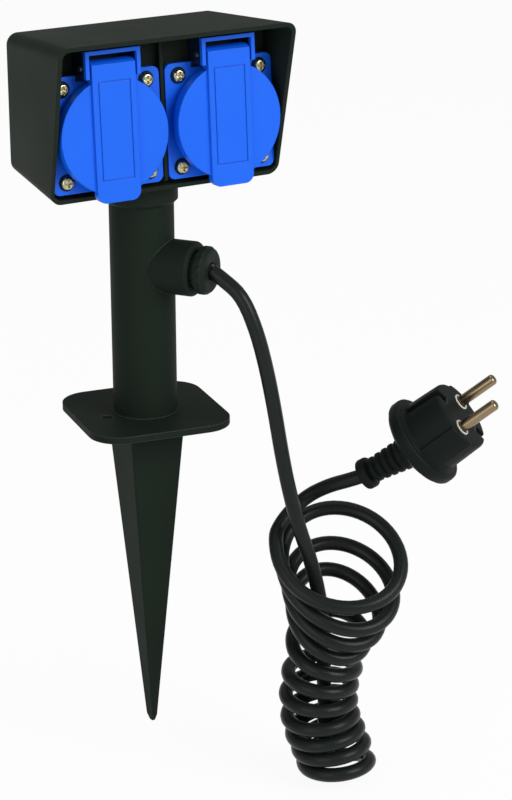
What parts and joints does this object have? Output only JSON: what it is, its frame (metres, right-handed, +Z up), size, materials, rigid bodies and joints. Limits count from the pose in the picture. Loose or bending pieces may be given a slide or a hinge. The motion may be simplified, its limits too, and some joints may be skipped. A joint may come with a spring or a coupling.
{
  "type": "garden socket spike",
  "caption": "Drafted open-front housing with hinged-lid socket outlets on a round post with ground plate and pointed spike; a coiled rubber cord with a mains plug leaves through a side gland.",
  "frame": {"origin": "underside of the ground plate, on the post's axis", "axes": "+Z up along the post, +X to the right along the outlets as seen from the front, -Y the outlets' front"},
  "size_m": [0.176, 0.1474, 0.3437],
  "materials": {
    "black_plastic": "satin moulded",
    "blue_plastic": "glossy moulded",
    "black_rubber": "smooth",
    "zinc": "yellow zinc plated",
    "steel": "plain",
    "brass": "polished",
    "white_plastic": "glossy",
    "carrier_plastic": "plain",
    "foam": "foam",
    "core_brown": "smooth",
    "core_blue": "smooth",
    "core_green": "smooth"
  },
  "bodies": {
    "post": {"housing": "black_plastic", "front_plate": "black_plastic", "spike_post": "black_plastic", "post_lock_screw": "zinc", "gland_nut": "black_plastic", "gland_seal": "black_rubber", "gland_washer": "carrier_plastic", "inner_cable": "black_rubber", "core_live": "core_brown", "core_neutral": "core_blue", "core_earth": "core_green", "cord_lead": "black_rubber", "cord_coil": "black_rubber", "cord_plug_lead": "black_rubber", "plug_strain_relief": "black_rubber", "plug_body": "black_rubber", "plug_pins": "brass", "plug_pin_rings": "white_plastic", "plug_earth_clips": "steel", "left_socket_body": "blue_plastic", "left_flange_gasket": "foam", "left_flange_screws": "zinc", "left_hinge_pin": "steel", "left_lid_spring": "steel", "left_contact_block": "carrier_plastic", "left_contacts": "brass", "left_earth_clip": "brass", "left_terminals": "brass", "left_terminal_screws": "steel", "right_socket_body": "blue_plastic", "right_flange_gasket": "foam", "right_flange_screws": "zinc", "right_hinge_pin": "steel", "right_lid_spring": "steel", "right_contact_block": "carrier_plastic", "right_contacts": "brass", "right_earth_clip": "brass", "right_terminals": "brass", "right_terminal_screws": "steel"},
    "left_lid": {"left_lid": "blue_plastic", "left_lid_seal": "black_rubber"},
    "right_lid": {"right_lid": "blue_plastic", "right_lid_seal": "black_rubber"}
  },
  "joints": [
    {"name": "left_lid_hinge", "type": "hinge", "parent": "post", "child": "left_lid", "pos_m": [-0.0268, -0.02535, 0.16432], "axis": [-1, 0, 0], "range_deg": [0, 92], "stiffness_Nm_per_rad": 0.01, "springref_deg": -28.65},
    {"name": "right_lid_hinge", "type": "hinge", "parent": "post", "child": "right_lid", "pos_m": [0.0268, -0.02535, 0.16432], "axis": [-1, 0, 0], "range_deg": [0, 92], "stiffness_Nm_per_rad": 0.01, "springref_deg": -28.65}
  ]
}
